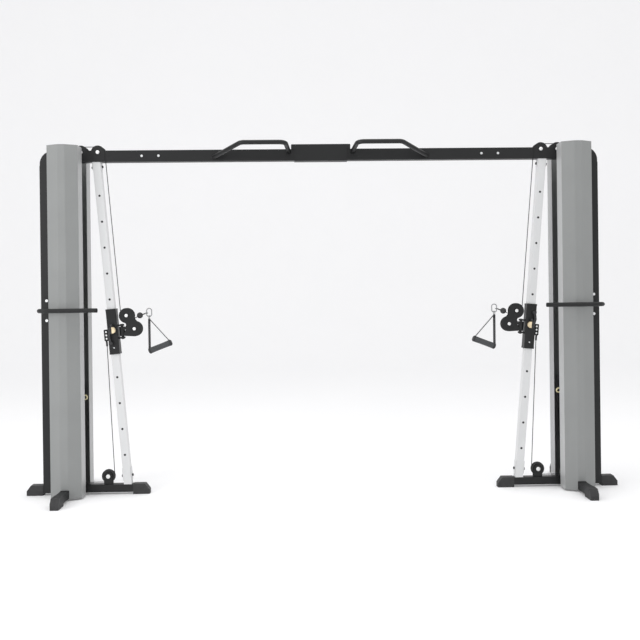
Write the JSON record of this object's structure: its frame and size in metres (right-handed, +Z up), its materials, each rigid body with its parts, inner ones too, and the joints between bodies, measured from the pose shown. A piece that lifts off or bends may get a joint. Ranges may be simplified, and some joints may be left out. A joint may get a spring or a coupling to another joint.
{
  "type": "functional trainer",
  "caption": "Cable crossover trainer with two weight towers, leaning columns with sliding pulley carriages, hand grips on cables and a crossbeam with pull-up handles.",
  "frame": {"origin": "on the floor, midway between the two towers", "axes": "+X along the machine towards the right tower, -Y towards the user in front, +Z up"},
  "size_m": [3.912, 0.82, 2.292],
  "materials": {
    "black_paint": "fine satin powder coat",
    "guard_paint": "satin grey powder coat",
    "white_paint": "satin pale powder coat",
    "cap_plastic": "moulded",
    "black_plastic": "moulded",
    "pulley_plastic": "turned nylon",
    "rod_chrome": "polished",
    "bolt_steel": "zinc plated",
    "pin_steel": "plated",
    "cable_steel": "wire rope in a dark coat",
    "plate_iron": "painted black",
    "ball_rubber": "moulded",
    "strap_fabric": "woven webbing",
    "grip_foam": "closed foam"
  },
  "bodies": {
    "frame": {"base_beams": "black_paint", "cross_feet": "black_paint", "foot_caps": "cap_plastic", "outer_uprights": "black_paint", "tower_headers": "black_paint", "crossbeam": "black_paint", "centre_sleeve": "black_paint", "pull_up_handles": "black_paint", "adjustment_columns": "white_paint", "front_guards": "guard_paint", "rear_guards": "guard_paint", "hand_rails": "black_paint", "guide_rods": "rod_chrome", "stack_stands": "black_plastic", "resting_plates": "plate_iron", "frame_bolts": "bolt_steel", "base_pulley_brackets": "black_paint", "fixed_cables": "cable_steel", "right_carriage_cables": "cable_steel", "right_stack_cable": "cable_steel", "left_carriage_cables": "cable_steel", "left_stack_cable": "cable_steel"},
    "right_carriage": {"right_carriage_sleeve": "black_paint"},
    "right_release_lever": {"right_carriage_lever": "black_plastic"},
    "right_pin": {"right_lock_pin": "pin_steel"},
    "right_arm": {"right_pulley_arm": "black_paint", "right_arm_cable": "cable_steel"},
    "right_cable_end": {"right_ball_stop": "ball_rubber", "right_carabiner": "pin_steel"},
    "right_handle": {"right_handle_strap": "strap_fabric"},
    "right_grip": {"right_handle_grip": "grip_foam"},
    "right_stack": {"right_lifted_weights": "plate_iron"},
    "right_selector": {"right_selector_pin": "pin_steel"},
    "right_column_header_pulley_wheel": {"right_column_header_pulley": "pulley_plastic"},
    "right_stack_header_pulley_wheel": {"right_stack_header_pulley": "pulley_plastic"},
    "right_return_header_pulley_wheel": {"right_return_header_pulley": "pulley_plastic"},
    "right_stack_pulley_wheel": {"right_stack_pulley": "pulley_plastic"},
    "right_tower_base_pulley_wheel": {"right_tower_base_pulley": "pulley_plastic"},
    "right_column_base_pulley_wheel": {"right_column_base_pulley": "pulley_plastic"},
    "right_upper_arm_pulley_wheel": {"right_upper_arm_pulley": "pulley_plastic"},
    "right_lower_arm_pulley_wheel": {"right_lower_arm_pulley": "pulley_plastic"},
    "left_carriage": {"left_carriage_sleeve": "black_paint"},
    "left_release_lever": {"left_carriage_lever": "black_plastic"},
    "left_pin": {"left_lock_pin": "pin_steel"},
    "left_arm": {"left_pulley_arm": "black_paint", "left_arm_cable": "cable_steel"},
    "left_cable_end": {"left_ball_stop": "ball_rubber", "left_carabiner": "pin_steel"},
    "left_handle": {"left_handle_strap": "strap_fabric"},
    "left_grip": {"left_handle_grip": "grip_foam"},
    "left_stack": {"left_lifted_weights": "plate_iron"},
    "left_selector": {"left_selector_pin": "pin_steel"},
    "left_column_header_pulley_wheel": {"left_column_header_pulley": "pulley_plastic"},
    "left_stack_header_pulley_wheel": {"left_stack_header_pulley": "pulley_plastic"},
    "left_return_header_pulley_wheel": {"left_return_header_pulley": "pulley_plastic"},
    "left_stack_pulley_wheel": {"left_stack_pulley": "pulley_plastic"},
    "left_tower_base_pulley_wheel": {"left_tower_base_pulley": "pulley_plastic"},
    "left_column_base_pulley_wheel": {"left_column_base_pulley": "pulley_plastic"},
    "left_upper_arm_pulley_wheel": {"left_upper_arm_pulley": "pulley_plastic"},
    "left_lower_arm_pulley_wheel": {"left_lower_arm_pulley": "pulley_plastic"}
  },
  "joints": [
    {"name": "right_stack_lift", "type": "slide", "parent": "frame", "child": "right_stack", "axis": [0, 0, 1], "range_m": [0, 0.9], "deforming": ["right_stack_cable"]},
    {"name": "right_carriage_slide", "type": "slide", "parent": "frame", "child": "right_carriage", "axis": [0.0849, 0, 0.9964], "range_m": [-0.684, 0.855], "deforming": ["right_carriage_cables"]},
    {"name": "right_arm_swivel", "type": "hinge", "parent": "right_carriage", "child": "right_arm", "pos_m": [1.32308, 0, 1.06927], "axis": [0.0849, 0, 0.9964], "range_deg": [-70, 70]},
    {"name": "right_handle_pull", "type": "slide", "parent": "right_arm", "child": "right_cable_end", "axis": [-0.8821, 0, 0.471], "range_m": [0, 1.8], "deforming": ["right_arm_cable"]},
    {"name": "right_handle_swing", "type": "hinge", "parent": "right_cable_end", "child": "right_handle", "pos_m": [1.146, 0, 1.1718], "axis": [0, 1, 0], "range_deg": [-20, 50]},
    {"name": "right_grip_spin", "type": "hinge", "parent": "right_handle", "child": "right_grip", "pos_m": [1.07504, 0, 0.96495], "axis": [0.9336, 0, -0.3584], "continuous": true},
    {"name": "right_lever_turn", "type": "hinge", "parent": "right_carriage", "child": "right_release_lever", "pos_m": [1.38106, 0, 1.07838], "axis": [0, 1, 0], "range_deg": [0, 50], "stiffness_Nm_per_rad": 0.4, "springref_deg": -34.38},
    {"name": "right_pin_push", "type": "slide", "parent": "right_carriage", "child": "right_pin", "axis": [0, 1, 0], "range_m": [0, 0.0085]},
    {"name": "right_selector_pull", "type": "slide", "parent": "right_stack", "child": "right_selector", "axis": [-1, 0, 0], "range_m": [0, 0.085]},
    {"name": "right_column_header_pulley_turn", "type": "hinge", "parent": "frame", "child": "right_column_header_pulley_wheel", "pos_m": [1.46357, 0, 2.247], "axis": [0, 1, 0], "continuous": true},
    {"name": "right_stack_header_pulley_turn", "type": "hinge", "parent": "frame", "child": "right_stack_header_pulley_wheel", "pos_m": [1.574, 0, 2.247], "axis": [0, 1, 0], "continuous": true},
    {"name": "right_return_header_pulley_turn", "type": "hinge", "parent": "frame", "child": "right_return_header_pulley_wheel", "pos_m": [1.716, 0, 2.222], "axis": [0, 1, 0], "continuous": true},
    {"name": "right_stack_pulley_turn", "type": "hinge", "parent": "right_stack", "child": "right_stack_pulley_wheel", "pos_m": [1.654, 0, 0.8032], "axis": [0, 1, 0], "continuous": true},
    {"name": "right_tower_base_pulley_turn", "type": "hinge", "parent": "frame", "child": "right_tower_base_pulley_wheel", "pos_m": [1.716, 0, 0.099], "axis": [0, 1, 0], "continuous": true},
    {"name": "right_column_base_pulley_turn", "type": "hinge", "parent": "frame", "child": "right_column_base_pulley_wheel", "pos_m": [1.424, 0, 0.117], "axis": [0, 1, 0], "continuous": true},
    {"name": "right_upper_arm_pulley_turn", "type": "hinge", "parent": "right_arm", "child": "right_upper_arm_pulley_wheel", "pos_m": [1.2918, 0, 1.1733], "axis": [0, 1, 0], "continuous": true},
    {"name": "right_lower_arm_pulley_turn", "type": "hinge", "parent": "right_arm", "child": "right_lower_arm_pulley_wheel", "pos_m": [1.24023, 0, 1.08637], "axis": [0, 1, 0], "continuous": true},
    {"name": "left_stack_lift", "type": "slide", "parent": "frame", "child": "left_stack", "axis": [0, 0, 1], "range_m": [0, 0.9], "deforming": ["left_stack_cable"]},
    {"name": "left_carriage_slide", "type": "slide", "parent": "frame", "child": "left_carriage", "axis": [-0.0849, 0, 0.9964], "range_m": [-0.684, 0.855], "deforming": ["left_carriage_cables"]},
    {"name": "left_arm_swivel", "type": "hinge", "parent": "left_carriage", "child": "left_arm", "pos_m": [-1.32308, 0, 1.06927], "axis": [0.0849, 0, -0.9964], "range_deg": [-70, 70]},
    {"name": "left_handle_pull", "type": "slide", "parent": "left_arm", "child": "left_cable_end", "axis": [0.8821, 0, 0.471], "range_m": [0, 1.8], "deforming": ["left_arm_cable"]},
    {"name": "left_handle_swing", "type": "hinge", "parent": "left_cable_end", "child": "left_handle", "pos_m": [-1.146, 0, 1.1718], "axis": [0, -1, 0], "range_deg": [-20, 50]},
    {"name": "left_grip_spin", "type": "hinge", "parent": "left_handle", "child": "left_grip", "pos_m": [-1.07504, 0, 0.96495], "axis": [0.9336, 0, 0.3584], "continuous": true},
    {"name": "left_lever_turn", "type": "hinge", "parent": "left_carriage", "child": "left_release_lever", "pos_m": [-1.38106, 0, 1.07838], "axis": [0, 1, 0], "range_deg": [0, 50], "stiffness_Nm_per_rad": 0.4, "springref_deg": -34.38},
    {"name": "left_pin_push", "type": "slide", "parent": "left_carriage", "child": "left_pin", "axis": [0, 1, 0], "range_m": [0, 0.0085]},
    {"name": "left_selector_pull", "type": "slide", "parent": "left_stack", "child": "left_selector", "axis": [1, 0, 0], "range_m": [0, 0.085]},
    {"name": "left_column_header_pulley_turn", "type": "hinge", "parent": "frame", "child": "left_column_header_pulley_wheel", "pos_m": [-1.46357, 0, 2.247], "axis": [0, -1, 0], "continuous": true},
    {"name": "left_stack_header_pulley_turn", "type": "hinge", "parent": "frame", "child": "left_stack_header_pulley_wheel", "pos_m": [-1.574, 0, 2.247], "axis": [0, -1, 0], "continuous": true},
    {"name": "left_return_header_pulley_turn", "type": "hinge", "parent": "frame", "child": "left_return_header_pulley_wheel", "pos_m": [-1.716, 0, 2.222], "axis": [0, -1, 0], "continuous": true},
    {"name": "left_stack_pulley_turn", "type": "hinge", "parent": "left_stack", "child": "left_stack_pulley_wheel", "pos_m": [-1.654, 0, 0.8032], "axis": [0, -1, 0], "continuous": true},
    {"name": "left_tower_base_pulley_turn", "type": "hinge", "parent": "frame", "child": "left_tower_base_pulley_wheel", "pos_m": [-1.716, 0, 0.099], "axis": [0, -1, 0], "continuous": true},
    {"name": "left_column_base_pulley_turn", "type": "hinge", "parent": "frame", "child": "left_column_base_pulley_wheel", "pos_m": [-1.424, 0, 0.117], "axis": [0, -1, 0], "continuous": true},
    {"name": "left_upper_arm_pulley_turn", "type": "hinge", "parent": "left_arm", "child": "left_upper_arm_pulley_wheel", "pos_m": [-1.2918, 0, 1.1733], "axis": [0, -1, 0], "continuous": true},
    {"name": "left_lower_arm_pulley_turn", "type": "hinge", "parent": "left_arm", "child": "left_lower_arm_pulley_wheel", "pos_m": [-1.24023, 0, 1.08637], "axis": [0, -1, 0], "continuous": true}
  ],
  "couplings": [
    {"joint": "right_pin_push", "follows": "right_lever_turn", "m_per_rad": 0.0097403},
    {"joint": "right_column_header_pulley_turn", "follows": "right_stack_lift", "rad_per_m": -50},
    {"joint": "right_stack_header_pulley_turn", "follows": "right_stack_lift", "rad_per_m": -50},
    {"joint": "right_return_header_pulley_turn", "follows": "right_carriage_slide", "rad_per_m": 45.455},
    {"joint": "right_stack_pulley_turn", "follows": "right_stack_lift", "rad_per_m": 25},
    {"joint": "right_tower_base_pulley_turn", "follows": "right_carriage_slide", "rad_per_m": 45.455},
    {"joint": "right_column_base_pulley_turn", "follows": "right_carriage_slide", "rad_per_m": 25},
    {"joint": "right_upper_arm_pulley_turn", "follows": "right_stack_lift", "rad_per_m": 50},
    {"joint": "right_handle_pull", "follows": "right_stack_lift", "ratio": 2},
    {"joint": "left_pin_push", "follows": "left_lever_turn", "m_per_rad": 0.0097403},
    {"joint": "left_column_header_pulley_turn", "follows": "left_stack_lift", "rad_per_m": -50},
    {"joint": "left_stack_header_pulley_turn", "follows": "left_stack_lift", "rad_per_m": -50},
    {"joint": "left_return_header_pulley_turn", "follows": "left_carriage_slide", "rad_per_m": 45.455},
    {"joint": "left_stack_pulley_turn", "follows": "left_stack_lift", "rad_per_m": 25},
    {"joint": "left_tower_base_pulley_turn", "follows": "left_carriage_slide", "rad_per_m": 45.455},
    {"joint": "left_column_base_pulley_turn", "follows": "left_carriage_slide", "rad_per_m": 25},
    {"joint": "left_upper_arm_pulley_turn", "follows": "left_stack_lift", "rad_per_m": 50},
    {"joint": "left_handle_pull", "follows": "left_stack_lift", "ratio": 2}
  ]
}
